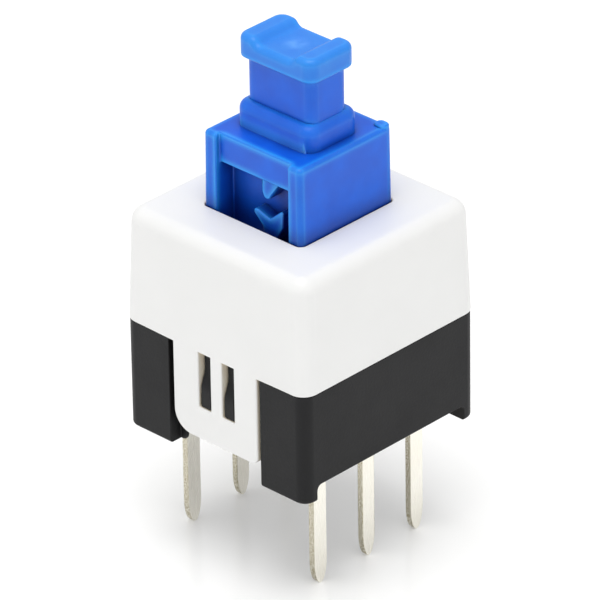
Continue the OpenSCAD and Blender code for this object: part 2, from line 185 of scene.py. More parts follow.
# %% [markdown]
# ## Shared surface effects
#
# Several finishes share the same effects, such as fine grain, painted highlights on edges and painted shade
# in hollows. Each effect is a small node group with named inputs, so that every material can use it with its
# own values. The textures read the object's own coordinates, which are metres, so a size is turned into a
# texture scale by dividing one by it.

# %% Helpers for node groups
SURFACE_OUTPUTS = ("Height", "Roughness", "Drift")
MASK_OUTPUT = ("Mask",)


def new_group(name, inputs, outputs):
    """Starts a node group. Inputs are names with default values, and outputs are names.

    It returns the group, its given values and the node that takes its results.
    """
    group = bpy.data.node_groups.new(name, "ShaderNodeTree")
    for label, value in inputs.items():
        socket = group.interface.new_socket(label, in_out="INPUT", socket_type="NodeSocketFloat")
        socket.default_value = value
    for label in outputs:
        group.interface.new_socket(label, in_out="OUTPUT", socket_type="NodeSocketFloat")
    print("group:", name)
    return group, group.nodes.new("NodeGroupInput").outputs, group.nodes.new("NodeGroupOutput")


def add_node(tree, kind, options=None, **values):
    """Adds a shader node, sets its options and feeds its inputs."""
    node = tree.nodes.new("ShaderNode" + kind)
    for option, choice in (options or {}).items():
        setattr(node, option, choice)
    feed(tree, node, **values)
    return node


def math_node(tree, operation, *values):
    """Adds a Math node for numbers or sockets and returns its result."""
    node = add_node(tree, "Math", dict(operation=operation))
    for socket, value in zip(node.inputs, values):
        set_or_link(tree, socket, value)
    return node.outputs[0]


def vector_node(tree, operation, first, second):
    """Adds a Vector Math node that makes one number of two vectors."""
    node = add_node(tree, "VectorMath", dict(operation=operation))
    tree.links.new(first, node.inputs[0])
    tree.links.new(second, node.inputs[1])
    return node.outputs["Value"]


def in_metres(tree, size_mm):
    """Turns a socket in millimetres into metres."""
    return math_node(tree, "MULTIPLY", size_mm, MM)


def limited(tree, value):
    """Keeps a mask between zero and one."""
    return math_node(tree, "MINIMUM", math_node(tree, "MAXIMUM", value, 0.0), 1.0)


def eased(tree, value, low, high, **ends):
    """Climbs smoothly from zero at a low value to one at a high one, unless other ends are given."""
    ease = add_node(tree, "MapRange", dict(interpolation_type="SMOOTHSTEP"),
                    Value=value, From_Min=low, From_Max=high, **ends)
    return ease.outputs["Result"]


def own_coordinates(tree, kind="Object"):
    """The place on the piece itself, or with kind Normal the way that its surface faces."""
    return add_node(tree, "TexCoord").outputs[kind]


def noise_at(tree, scale, detail, vector):
    """Adds a Noise texture at a vector and returns its value."""
    return add_node(tree, "TexNoise", Vector=vector, Scale=scale, Detail=detail).outputs["Fac"]


def mottle(tree, size_mm, detail=2.0):
    """Noise whose patches are as large as a socket in millimetres says."""
    scale = math_node(tree, "DIVIDE", 1 / MM, size_mm)
    return noise_at(tree, scale, detail, own_coordinates(tree))


print("texture scale for a grain of 0.06 mm:", round(1 / (0.06 * MM)))

# %% [markdown]
# A moulding copies the fine spark texture of its steel mould, and its gloss drifts a little where the
# plastic cooled faster. So the skin is two noises: a fine one for the bump, and a slow one that moves the
# roughness and is also put out, for the material to mix its two tones by.

# %% Moulded skin: fine grain and slow drift of gloss
group, given, result = new_group(
    "moulded_skin",
    {"Grain mm": 0.06, "Drift mm": 1.6, "Gloss": 0.4, "Gloss drift": 0.1}, SURFACE_OUTPUTS)
grain = mottle(group, given["Grain mm"], detail=3)
drift = mottle(group, given["Drift mm"])
swing = math_node(group, "MULTIPLY_ADD", drift, 2.0, -1.0)
shift = math_node(group, "MULTIPLY", swing, given["Gloss drift"])
speckle = math_node(group, "MULTIPLY_ADD", grain, 0.12, -0.06)
rough = math_node(group, "ADD", math_node(group, "ADD", given["Gloss"], shift), speckle)
feed(group, result, Height=grain, Roughness=rough, Drift=drift)
moulded_skin = group

# %% [markdown]
# Outer edges of a moulding are painted a shade lighter, as a painted highlight where a rounded edge catches
# the light.
# The Bevel node gives the normal as if the edges were rounder. Where that differs from the true normal there
# is an edge, so the difference of the two is the mask. Inner corners would light up too. So an Ambient
# Occlusion node looks into the solid: only at an outer edge does it find the next face close by.

# %% Painted edge highlight
group, given, result = new_group("painted_edge_highlight", {"Width mm": 0.07, "Strength": 4.0}, MASK_OUTPUT)
width = in_metres(group, given["Width mm"])
bevel = add_node(group, "Bevel", dict(samples=8), Radius=width)
true_normal = add_node(group, "NewGeometry").outputs["Normal"]
differ = math_node(
    group, "SUBTRACT", 1.0, vector_node(group, "DOT_PRODUCT", bevel.outputs["Normal"], true_normal))
spread = math_node(group, "SQRT", math_node(group, "MAXIMUM", differ, 0.0))
mask = math_node(group, "MULTIPLY", spread, given["Strength"])
inward = add_node(group, "AmbientOcclusion", dict(inside=True, only_local=True, samples=6), Distance=width)
thin = math_node(group, "SUBTRACT", 1.0, inward.outputs["AO"])
outer = limited(group, math_node(group, "MULTIPLY", thin, 5.0))
feed(group, result, Mask=limited(group, math_node(group, "MULTIPLY", mask, outer)))
painted_edge_highlight = group

# %% [markdown]
# Plastic that faces other plastic, deep in a slot or a track, gets its light from its own walls, so painted
# shade makes its colour deeper and warmer there. The Ambient Occlusion node looks a short way out of the
# surface and says how open it is. The group turns that into a painted shade mask that is one in a corner and
# zero on an open face.

# %% Painted shade in hollows
group, given, result = new_group("painted_hollow_shade", {"Reach mm": 0.8, "Shut": 0.25, "Open": 0.85}, MASK_OUTPUT)
reach = in_metres(group, given["Reach mm"])
look = add_node(group, "AmbientOcclusion", dict(samples=10), Distance=reach)
mask = eased(group, look.outputs["AO"], given["Shut"], given["Open"], To_Min=1.0, To_Max=0.0)
feed(group, result, Mask=mask)
painted_hollow_shade = group

# %% [markdown]
# The blue plastic lets some light through, so its thin upper parts look paler and greener than the solid
# block below, and that light is painted into the colour. A mask that climbs with the height, broken up by a
# noise, lays this painted light as a paler tone over them.

# %% Painted light on the upper parts
group, given, result = new_group(
    "painted_upper_light", {"Low mm": 11.3, "High mm": 12.2, "Patch mm": 0.5, "Amount": 0.8}, MASK_OUTPUT)
place = add_node(group, "SeparateXYZ", Vector=own_coordinates(group))
height = math_node(group, "DIVIDE", place.outputs["Z"], MM)
climb = eased(group, height, given["Low mm"], given["High mm"])
patches = mottle(group, given["Patch mm"], detail=3)
patchy = math_node(group, "MULTIPLY", climb, math_node(group, "MULTIPLY_ADD", patches, 0.8, 0.6))
mask = math_node(group, "MULTIPLY", patchy, given["Amount"])
feed(group, result, Mask=limited(group, mask))
painted_upper_light = group

# %% [markdown]
# The middle of the saddle has a small pale painted highlight. A spot mask fades out round a point, and a
# noise makes its outline uneven.

# %% Painted highlight on the saddle
group, given, result = new_group(
    "painted_spot_highlight", {"X mm": 0.0, "Y mm": 0.0, "Z mm": 0.0, "Radius mm": 0.3, "Speck mm": 0.05}, MASK_OUTPUT)
centre = add_node(
    group, "CombineXYZ", **{axis: in_metres(group, given[axis + " mm"]) for axis in "XYZ"})
away = vector_node(group, "DISTANCE", own_coordinates(group), centre.outputs[0])
share = math_node(group, "DIVIDE", away, in_metres(group, given["Radius mm"]))
near = math_node(group, "MAXIMUM", math_node(group, "SUBTRACT", 1.0, share), 0.0)
specks = mottle(group, given["Speck mm"], detail=1)
uneven = math_node(group, "MAXIMUM", math_node(group, "MULTIPLY_ADD", specks, 1.8, -0.35), 0.0)
feed(group, result, Mask=limited(group, math_node(group, "MULTIPLY", near, uneven)))
painted_spot_highlight = group

# %% [markdown]
# A stamped blade is plated bright on its two broad faces. Along its narrow sides the punch has torn the
# metal, so they are rougher, yellower and speckled. The object's own normal tells the narrow sides, which
# face front and rear.

# %% Sheared side mask
group, given, result = new_group("sheared_side", {"Speckle mm": 0.05, "Amount": 0.9}, MASK_OUTPUT)
facing = add_node(group, "SeparateXYZ", Vector=own_coordinates(group, "Normal"))
side = eased(group, math_node(group, "ABSOLUTE", facing.outputs["Y"]), 0.25, 0.75)
speckle = mottle(group, given["Speckle mm"], detail=3)
torn = math_node(group, "MULTIPLY", side, math_node(group, "MULTIPLY_ADD", speckle, 2.4, -0.5))
mask = math_node(group, "MULTIPLY", torn, given["Amount"])
feed(group, result, Mask=limited(group, mask))
sheared_side = group

# %% [markdown]
# Sheet metal and drawn wire carry fine lines along the way they ran through the rolls or the die. A noise
# that is squeezed across the run and stretched along it gives such lines. One group does both, and its
# three inputs say how much finer the pattern is along each axis.

# %% Rolled lines
group, given, result = new_group(
    "rolled_lines",
    {"Fine X": 30000.0, "Fine Y": 30000.0, "Fine Z": 900.0, "Gloss": 0.25, "Gloss drift": 0.12},
    SURFACE_OUTPUTS)
place = own_coordinates(group)
split = add_node(group, "SeparateXYZ", Vector=place)
stretched = add_node(group, "CombineXYZ", **{
    axis: math_node(group, "MULTIPLY", split.outputs[axis], given["Fine " + axis])
    for axis in "XYZ"})
lines = noise_at(group, 1.0, 3, stretched.outputs[0])
drift = noise_at(group, 900.0, 2.0, place)
rough = math_node(group, "MULTIPLY_ADD", lines, given["Gloss drift"], given["Gloss"])
feed(group, result, Height=lines, Roughness=rough, Drift=drift)
rolled_lines = group

# %% [markdown]
# ## Finishes
#
# A finish is a Principled shader with one of the surface groups above. The helper places the group, feeds
# its roughness and its bump, and mixes two tones of the base colour by the group's slow drift. More tones
# are laid over that in layers, each with its own mask. Numbers that are the same all over the piece go
# straight on the shader's sockets.

# %% Helpers for finishes
def mix_colours(tree, factor, first, second):
    """Mixes two colours, each a tuple or a socket, by a factor socket."""
    mix = add_node(tree, "Mix", dict(data_type="RGBA"), Factor=factor)
    for label, colour in (("A", first), ("B", second)):
        socket = [s for s in mix.inputs if s.name == label and s.type == "RGBA"][0]
        set_or_link(tree, socket, (*colour, 1) if isinstance(colour, tuple) else colour)
    return [s for s in mix.outputs if s.type == "RGBA"][0]


def finish(name, surface, tones, bump_mm, layers=(), **sockets):
    """Makes a material from a surface group with its values, and two tones.

    Each layer is a mask group, the values of that mask, and the colour that it lays over the tones.
    """
    material = bpy.data.materials.new(name)
    material.use_nodes = True
    tree = material.node_tree
    group, values = surface
    skin = add_node(tree, "Group", dict(node_tree=group), **values)
    colour = mix_colours(tree, skin.outputs["Drift"], *tones)
    for mask_group, mask_values, tone in layers:
        mask = add_node(tree, "Group", dict(node_tree=mask_group), **mask_values)
        colour = mix_colours(tree, mask.outputs["Mask"], colour, tone)
    bump = add_node(tree, "Bump", Strength=1.0, Distance=bump_mm * MM, Height=skin.outputs["Height"])
    feed(tree, tree.nodes["Principled BSDF"], Base_Color=colour, Roughness=skin.outputs["Roughness"],
         Normal=bump.outputs["Normal"], **sockets)
    print("finish:", name)
    return material


# %% [markdown]
# The cover is white nylon-like plastic: bright, satin, with a very fine grain. The base is black and matt,
# because its mould was eroded more coarsely. The plunger is a saturated blue with a soft shine.

# %% Plastics
# Its lighter edges are a painted highlight, and its warm, deeper tone in slots and hollows is painted shade.
white_plastic = finish(
    "white_satin_plastic",
    (moulded_skin, dict(Grain_mm=0.05, Drift_mm=2.2, Gloss=0.42, Gloss_drift=0.10)),
    ((0.82, 0.82, 0.81), (0.87, 0.87, 0.86)), bump_mm=0.0016,
    layers=((painted_edge_highlight, dict(Width_mm=0.07, Strength=1.0), (0.90, 0.90, 0.89)),
            (painted_hollow_shade, dict(Reach_mm=0.6, Shut=0.20, Open=0.75), (0.88, 0.78, 0.60))))

# Its lighter edges are a painted highlight, and its darker tone in hollows is painted shade.
black_plastic = finish(
    "black_matt_plastic",
    (moulded_skin, dict(Grain_mm=0.07, Drift_mm=1.4, Gloss=0.50, Gloss_drift=0.12)),
    ((0.007, 0.007, 0.008), (0.011, 0.011, 0.012)), bump_mm=0.004,
    layers=((painted_edge_highlight, dict(Width_mm=0.07, Strength=0.8), (0.016, 0.016, 0.017)),
            (painted_hollow_shade, dict(Reach_mm=0.6, Shut=0.20, Open=0.75), (0.003, 0.003, 0.004))),
    Specular_IOR_Level=0.23)

# Its paler thin upper parts are painted light, its paler edges and the pale spot on the saddle are painted
# highlights, and its deeper tone in the track and hollows is painted shade.
blue_plastic = finish(
    "blue_satin_plastic",
    (moulded_skin, dict(Grain_mm=0.06, Drift_mm=0.9, Gloss=0.38, Gloss_drift=0.10)),
    ((0.000, 0.074, 0.560), (0.003, 0.146, 0.820)), bump_mm=0.002,
    layers=((painted_upper_light, dict(Low_mm=11.2, High_mm=12.0, Patch_mm=0.5, Amount=0.70), (0.03, 0.27, 0.82)),
            (painted_edge_highlight, dict(Width_mm=0.34, Strength=2.8), (0.028, 0.35, 0.92)),
            (painted_spot_highlight, dict(Z_mm=12.05, Radius_mm=0.45, Speck_mm=0.30), (0.12, 0.37, 0.92)),
            (painted_hollow_shade, dict(Reach_mm=1.2, Shut=0.25, Open=0.85), (0.0, 0.010, 0.160))),
    Specular_IOR_Level=0.40)

# %% [markdown]
# The terminals are stamped from thin brass strip and plated, so they are silvery with a faint warm tint.
# The clips inside keep the bare brass colour. Spring and latch wire are drawn steel. All four are metals,
# with lines along the strip or the wire.

# %% Metals
plated_strip = finish(
    "bright_plated_strip",
    (rolled_lines, dict(Fine_X=26000, Fine_Y=26000, Fine_Z=700, Gloss=0.20, Gloss_drift=0.14)),
    ((0.88, 0.85, 0.75), (0.94, 0.92, 0.85)), bump_mm=0.0012,
    layers=((sheared_side, dict(Speckle_mm=0.05, Amount=0.9), (0.30, 0.26, 0.15)),), Metallic=1.0)

# Its paler edges are a painted highlight.
bare_brass = finish(
    "bare_brass_strip",
    (rolled_lines, dict(Fine_X=22000, Fine_Y=800, Fine_Z=22000, Gloss=0.22, Gloss_drift=0.16)),
    ((0.76, 0.56, 0.26), (0.84, 0.66, 0.34)), bump_mm=0.0012,
    layers=((painted_edge_highlight, dict(Width_mm=0.07, Strength=1.2), (0.90, 0.76, 0.48)),), Metallic=1.0)

spring_wire = finish(
    "drawn_spring_wire",
    (rolled_lines, dict(Fine_X=6000, Fine_Y=6000, Fine_Z=30000, Gloss=0.24, Gloss_drift=0.14)),
    ((0.50, 0.51, 0.53), (0.62, 0.63, 0.65)), bump_mm=0.001, Metallic=1.0)

latch_wire = finish(
    "drawn_latch_wire",
    (rolled_lines, dict(Fine_X=30000, Fine_Y=30000, Fine_Z=1200, Gloss=0.20, Gloss_drift=0.14)),
    ((0.56, 0.57, 0.59), (0.68, 0.69, 0.70)), bump_mm=0.001, Metallic=1.0)

# %% [markdown]
# ## Modelling helpers
#
# The helpers do what a hand does: add a block or a rod, then go to Edit Mode and choose edges or faces by
# where they are. Everything is deselected first, because a tool works on all that is selected.

# %% Adding and selecting
def rest_hands():
    """Object Mode with nothing selected."""
    if bpy.context.mode != "OBJECT":
        bpy.ops.object.mode_set(mode="OBJECT")
    bpy.ops.object.select_all(action="DESELECT")


def hold(piece):
    """Selects one piece alone and makes it active."""
    rest_hands()
    piece.select_set(True)
    bpy.context.view_layer.objects.active = piece


def settle(piece):
    """Applies a piece's place, turn and size to its mesh."""
    hold(piece)
    bpy.ops.object.transform_apply(location=True, rotation=True, scale=True)
    return piece


def block(name, low, high):
    """Adds a cube and sizes it to the box between two corners, in millimetres."""
    rest_hands()
    middle = [(a + b) / 2 for a, b in zip(low, high)]
    bpy.ops.mesh.primitive_cube_add(size=1, location=middle, scale=[b - a for a, b in zip(low, high)])
    piece = bpy.context.object
    piece.name = name
    return settle(piece)


def tell(piece):
    """Says how many faces a piece has so far."""
    print(piece.name + ":", len(piece.data.polygons), "faces")


def rod(radius, depth, middle, vertices, rotation=(0, 0, 0)):
    """Adds a cylinder, which is upright unless it is turned."""
    rest_hands()
    bpy.ops.mesh.primitive_cylinder_add(
        vertices=vertices, radius=radius, depth=depth, location=middle, rotation=rotation)
    return settle(bpy.context.object)


def on_side(side, near, far):
    """Two distances from the middle as (low, high) on the left or front (-1), or the right or rear (1)."""
    return sorted((side * near, side * far))


def pick(piece, kind, test):
    """Goes to Edit Mode and selects the edges or faces that pass a test."""
    hold(piece)
    bpy.ops.object.mode_set(mode="EDIT")
    bpy.ops.mesh.select_mode(type=kind)
    bpy.ops.mesh.select_all(action="DESELECT")
    mesh = bmesh.from_edit_mesh(piece.data)
    for part in {"EDGE": mesh.edges, "FACE": mesh.faces}[kind]:
        if test(part):
            part.select_set(True)
    bmesh.update_edit_mesh(piece.data)


def pick_all_faces(piece):
    pick(piece, "FACE", lambda face: True)


# %% [markdown]
# To round the right edges there are small tests: which way an edge runs, and where both its ends lie. A
# bevel with several segments then makes the round.

# %% Rounding edges
NEAR = 1e-4     # millimetres


def along(edge, axis):
    """True if an edge runs along axis 0, 1 or 2, give or take a moulding's draft."""
    step = edge.verts[1].co - edge.verts[0].co
    return abs(step[axis]) > 0.99 * step.length


def upright(edge):
    return along(edge, 2)


def ends_at(edge, axis, value):
    """True if both ends of an edge lie at a value on an axis."""
    return all(abs(vert.co[axis] - value) < NEAR for vert in edge.verts)


def at_either_side(edge, axis, value):
    """True if both ends of an edge lie at plus or minus a value on an axis."""
    return all(abs(abs(vert.co[axis]) - value) < NEAR for vert in edge.verts)


def round_edges(piece, radius, test, segments=5):
    """Rounds the edges that pass a test."""
    pick(piece, "EDGE", test)
    bpy.ops.mesh.bevel(offset=radius, segments=segments, profile=0.5, affect="EDGES")
    rest_hands()


# %% [markdown]
# Openings are cut and forms are joined with the Boolean modifier. It leaves doubled points and needless
# edges on flat faces, which are cleared before the next bevel.

# %% Cutting and joining
def combine(piece, other, operation):
    """Joins another piece to a piece or cuts it out. The other is used up."""
    hold(piece)
    tool = piece.modifiers.new("combine", "BOOLEAN")
    tool.operation = operation
    tool.solver = "EXACT"
    tool.object = other
    bpy.ops.object.modifier_apply(modifier=tool.name)
    bpy.data.objects.remove(other)


def cut(piece, other):
    combine(piece, other, "DIFFERENCE")


def add(piece, other):
    combine(piece, other, "UNION")


def tidy(piece):
    """Merges doubles, drops needless edges on flat faces and points the normals outwards."""
    hold(piece)
    bpy.ops.object.mode_set(mode="EDIT")
    bpy.ops.mesh.select_all(action="SELECT")
    bpy.ops.mesh.remove_doubles(threshold=0.0005)
    bpy.ops.mesh.dissolve_limited(angle_limit=math.radians(0.5))
    bpy.ops.mesh.normals_make_consistent(inside=False)
    rest_hands()


# %% [markdown]
# No edge of a moulding or a stamping is perfectly sharp. A Bevel modifier rounds all edges that no tool has
# rounded yet. At the end a Weighted Normal modifier keeps the flat faces flat in the light, while the
# rounds between them stay smooth.

# %% Softening
def soften(piece, width, segments=2, angle=40):
    """Rounds every edge that is sharper than an angle in degrees."""
    tidy(piece)
    hold(piece)
    bpy.ops.object.shade_smooth()
    bevel = piece.modifiers.new("soft_edges", "BEVEL")
    bevel.width = width
    bevel.segments = segments
    bevel.limit_method = "ANGLE"
    bevel.angle_limit = math.radians(angle)
    bevel.use_clamp_overlap = True
    bevel.harden_normals = True
    bpy.ops.object.modifier_apply(modifier=bevel.name)
    return piece


def smooth_rounds(piece):
    """Shades every edge smooth that is flatter than fifty degrees."""
    hold(piece)
    bpy.ops.object.shade_smooth_by_angle(angle=math.radians(50))


def even_out(piece):
    """Gives the flat faces an even shading and the rounded edges a smooth one."""
    tidy(piece)
    smooth_rounds(piece)
    even = piece.modifiers.new("even_out", "WEIGHTED_NORMAL")
    even.weight = 100
    even.keep_sharp = True
    bpy.ops.object.modifier_apply(modifier=even.name)


# %% [markdown]
# What repeats is modelled once and copied, each copy with its own mesh. A finished piece gets its material
# and is tied to the frame: it rides on a body, and it stands for one of the frame's nodes.

# %% Copies and hand-over
def own_copy(piece, name):
    """A copy with its own mesh."""
    twin = piece.copy()
    twin.data = piece.data.copy()
    twin.name = name
    bpy.context.scene.collection.objects.link(twin)
    return twin


def turned_copy(piece, name):
    """A copy with its own mesh, turned half round the upright axis without any rounding of its numbers."""
    twin = own_copy(piece, name)
    for vert in twin.data.vertices:
        vert.co.x, vert.co.y = -vert.co.x, -vert.co.y
    return twin


def coat(piece, material):
    """Gives a piece one material."""
    piece.data.materials.clear()
    piece.data.materials.append(material)


def hand_over(piece, body, slot, material, *nodes):
    """Shrinks a finished piece to metres, gives it its finish and ties it to the frame."""
    even_out(piece)
    piece.scale = (MM, MM, MM)
    settle(piece)
    coat(piece, material)
    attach(piece, body)
    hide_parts(*nodes)
    triangles = sum(len(face.vertices) - 2 for face in piece.data.polygons)
    print(piece.name, "stands for", ", ".join(nodes), "with", triangles, "triangles")


# %% [markdown]
# ## The cover
#
# The cover is a square cap with a well-rounded rim, and its faces lean in a little on the way up, so that
# it lets go of its mould. It starts as a block whose top face is scaled down. The four upright edges are
# rounded first and the rim of the roof after them, so that the corners blend. Then it is hollowed from below
# and the plunger's opening is cut through the roof.

# %% Cover: cap
seam_z = 3.48                 # lower edge of the cap, above the board
cover_corner_r, rim_r = 0.50, 0.46
cap_lean = 0.11               # how far each face leans in from the seam to the top
wall, roof = 0.5, 0.75
half_w, half_d = cover_high.x, cover_high.y
opening_x, opening_y, opening_r = 1.925, 1.91, 0.2     # half sizes and corner radius
PAST = 1                      # how far a large cutter reaches past what it cuts
SUNK = 0.1                    # how far a form or a small cutter reaches into its neighbour


def narrow_top(piece, lean):
    """Scales the top face down, so that each side leans in."""
    pick(piece, "FACE", lambda f: f.normal.z > 0.9)
    reach = [max(abs(vert.co[axis]) for vert in piece.data.vertices) for axis in (0, 1)]
    bpy.ops.transform.resize(value=(1 - lean / reach[0], 1 - lean / reach[1], 1))
    rest_hands()


cap = block("moulded_cover", (-half_w, -half_d, seam_z), (half_w, half_d, cover_high.z))
narrow_top(cap, cap_lean)
round_edges(cap, cover_corner_r, upright, segments=10)
round_edges(cap, rim_r, lambda e: ends_at(e, 2, cover_high.z), segments=8)
inside = block("inside", (wall - half_w, wall - half_d, seam_z - PAST),
               (half_w - wall, half_d - wall, cover_high.z - roof))
round_edges(inside, opening_r, upright, segments=4)
cut(cap, inside)
opening = block("opening", (-opening_x, -opening_y, seam_z), (opening_x, opening_y, cover_high.z + PAST))
round_edges(opening, opening_r, upright, segments=5)
cut(cap, opening)
tell(cap)

# %% [markdown]
# A tongue hangs from the front wall and another from the rear wall, and they hold the cover on the base.
# Each has one large and one small lower corner, and two upright slots that leave a narrow finger between
# them. The barbs of the base catch in the slots. One tongue is made and a copy of it is turned half round.

# %% Cover: tongues
tongue_middle, tongue_half, tongue_t = 0.07, 1.63, 0.41
tongue_large_r, tongue_small_r = 0.65, 0.25
slot_places, slot_w, slot_h, slot_corner_r = (-0.34, 0.58), 0.48, 1.8, 0.05
slot_low_z = seam_z - slot_h
cover_edge_r = 0.045

tongue = block("tongue", (tongue_middle - tongue_half, -half_d, cover_low.z),
               (tongue_middle + tongue_half, tongue_t - half_d, seam_z))


def lower_corner(side):
    """A test for the front-to-rear edge at a tongue's lower corner, left (-1) or right (1)."""
    x = tongue_middle + side * tongue_half
    return lambda e: along(e, 1) and ends_at(e, 2, cover_low.z) and ends_at(e, 0, x)


round_edges(tongue, tongue_large_r, lower_corner(-1), segments=10)
round_edges(tongue, tongue_small_r, lower_corner(1), segments=5)
for x in slot_places:
    slot = block("slot", (x - slot_w / 2, -half_d - PAST, slot_low_z),
                 (x + slot_w / 2, tongue_t - half_d + SUNK / 2, seam_z + SUNK))
    round_edges(slot, slot_corner_r, lambda e: along(e, 1) and ends_at(e, 2, slot_low_z), segments=3)
    cut(tongue, slot)
add(cap, turned_copy(tongue, "rear_tongue"))
add(cap, tongue)
soften(cap, cover_edge_r, segments=3)
hand_over(cap, "housing", "cover_plastic", white_plastic, "cover")

# %% [markdown]
# ## The base
#
# The base is a square tub on four corner feet, and the cover stands proud of it by a twentieth of a
# millimetre. Front and rear have a recess for the tongue. The tub starts as a block down to the board, and
# two bars are cut from under it, one each way, which leaves the feet. A foot's inner corner is round, and a
# fillet joins it to the floor.

# %% Base: tub and feet
foot_h, foot_l, foot_w = 0.5, 0.5, 2.0
floor_top_z = 1.2
base_corner_r, foot_corner_r, foot_fillet, foot_edge_r = 0.38, 0.2, 0.16, 0.1
recess_half = tongue_half + 0.15
recess_y = half_d - tongue_t - 0.05
shoulder_z = seam_z - 0.02
half_bx, half_by = base_high.x, base_high.y
foot_x, foot_y = half_bx - foot_w, half_by - foot_l
cavity_x, cavity_y, cavity_top = 2.62, 2.71, 9
collar_air, collar_sunk = 0.03, 0.3
collar_x, collar_y = half_w - wall - collar_air, half_d - wall - collar_air


def foot_corner(edge):
    """True for the lower inner corner of a foot, seen from the front."""
    return along(edge, 1) and ends_at(edge, 2, 0) and at_either_side(edge, 0, foot_x)


def foot_root(edge):
    """True for the line where a foot's inner side meets the floor."""
    return along(edge, 0) and ends_at(edge, 2, foot_h) and at_either_side(edge, 1, foot_y)


tub = block("moulded_base", (-half_bx, -half_by, 0), (half_bx, half_by, shoulder_z))
round_edges(tub, base_corner_r, upright, segments=8)
cut(tub, block("under", (-half_bx - PAST, -foot_y, -PAST), (half_bx + PAST, foot_y, foot_h)))
cut(tub, block("between", (-foot_x, -half_by - PAST, -PAST), (foot_x, half_by + PAST, foot_h)))
tidy(tub)
round_edges(tub, foot_corner_r, foot_corner)
round_edges(tub, foot_fillet, foot_root)
tidy(tub)
add(tub, block("collar", (-collar_x, -collar_y, shoulder_z - collar_sunk), (collar_x, collar_y, base_high.z)))
cut(tub, block("cavity", (-cavity_x, -cavity_y, floor_top_z), (cavity_x, cavity_y, cavity_top)))
for side in (-1, 1):
    low_y, high_y = on_side(side, recess_y, half_by + PAST)
    cut(tub, block("recess", (-recess_half, low_y, -PAST), (recess_half, high_y, seam_z)))
tidy(tub)


def under_outline(edge):
    """True for an edge under a foot that lies on the base's outline, not on an inner face of the foot."""
    inner_faces = ((0, recess_half), (1, recess_y), (1, foot_y))
    return ends_at(edge, 2, 0) and not any(at_either_side(edge, axis, value) for axis, value in inner_faces)


round_edges(tub, foot_edge_r, under_outline, segments=4)
tell(tub)

# %% [markdown]
# The floor has a slot for each terminal. A pocket near the front gives the latch wire room to swing, and
# the wire's lower end turns in a blind bore that runs back from the pocket.

# %% Base: slots and bore in the floor
terminal_x, terminal_pitch = (pin_low.x + pin_high.x) / 2, 2.0
slot_half_x, slot_half_y = 0.12, 0.27
pivot_x, pivot_z = 0.17, 0.85                   # axis of the latch wire's lower end
wire_r, wire_air, wire_y = 0.15, 0.02, -2.255   # wire_y is the place of its upright part
pocket_half, pocket_front, pocket_rear, pocket_deep, pocket_top = 0.32, 0.2, 0.3, 0.2, 2
bore_l, bore_middle = 0.8, 0.6

for side in (-1, 1):
    for place in (-1, 0, 1):
        x, y = side * terminal_x, place * terminal_pitch
        cut(tub, block("floor_slot", (x - slot_half_x, y - slot_half_y, -PAST),
                       (x + slot_half_x, y + slot_half_y, floor_top_z + SUNK)))
cut(tub, block("wire_pocket", (pivot_x - pocket_half, wire_y - pocket_front, pivot_z - pocket_deep),
               (pivot_x + pocket_half, wire_y + pocket_rear, pocket_top)))
cut(tub, rod(wire_r + wire_air, bore_l, (pivot_x, wire_y + bore_middle, pivot_z), 24, (math.pi / 2, 0, 0)))
tell(tub)

# %% [markdown]
# Ribs inside the front and rear walls keep the plunger straight, dividers keep the terminals apart, and a
# post centres the spring. All of them are sunk a little into the floor or the walls that carry them.

# %% Base: ribs and post
rib_x, rib_half = 1.5, 0.2
divider_y, divider_half, divider_inner_x = 0.725, 0.19, 2.47
post_r, post_h, post_middle = 0.64, 1.0, 0.39
base_edge_r = 0.04

for side in (-1, 1):
    for x in (-rib_x, rib_x):
        low_y, high_y = on_side(side, opening_y, cavity_y + SUNK)
        add(tub, block("guide_rib", (x - rib_half, low_y, floor_top_z - SUNK),
                       (x + rib_half, high_y, base_high.z)))
    for y in (-divider_y, divider_y):
        low_x, high_x = on_side(side, divider_inner_x, cavity_x + SUNK)
        add(tub, block("divider", (low_x, y - divider_half, floor_top_z - SUNK),
                       (high_x, y + divider_half, base_high.z)))
add(tub, rod(post_r, post_h, (0, 0, floor_top_z + post_middle), 32))
soften(tub, base_edge_r, segments=3)
tell(tub)

# %% [markdown]
# A barb is thin at the top and swells to a flat ledge along an S-shaped ramp. It starts as a thin block
# whose upright edges are subdivided, and each row of its outer face is then pulled out by the ramp's formula.

# %% Base: barbs
barb_low_z, barb_high_z = slot_low_z + 0.02, seam_z - 0.10
barb_thin, barb_thick = 0.24, 0.41
barb_w, barb_edge_r = slot_w - 0.1, 0.03
ramp_from, ramp_to = 0.72, 0.32     # the ramp's ends, as shares of the barb's height


def barb_reach(z):
    """How far a barb stands out of the recess wall at a height."""
    share = (z - barb_low_z) / (barb_high_z - barb_low_z)
    down = min(max((ramp_from - share) / (ramp_from - ramp_to), 0), 1)
    return barb_thin + (barb_thick - barb_thin) * (1 - math.cos(math.pi * down)) / 2


def make_barb(x):
    """A barb for the front slot at a place across the base."""
    front_y = -recess_y - barb_thin
    barb = block("barb", (x - barb_w / 2, front_y, barb_low_z),
                 (x + barb_w / 2, SUNK - recess_y, barb_high_z))
    pick(barb, "EDGE", upright)
    bpy.ops.mesh.subdivide(number_cuts=15)
    rest_hands()
    for vert in barb.data.vertices:
        if vert.co.y < front_y + NEAR:
            vert.co.y = -recess_y - barb_reach(vert.co.z)
    return soften(barb, barb_edge_r, angle=50)


for x in slot_places:
    barb = make_barb(x)
    add(tub, turned_copy(barb, "rear_barb"))
    add(tub, barb)
hand_over(tub, "housing", "base_plastic", black_plastic, "base")

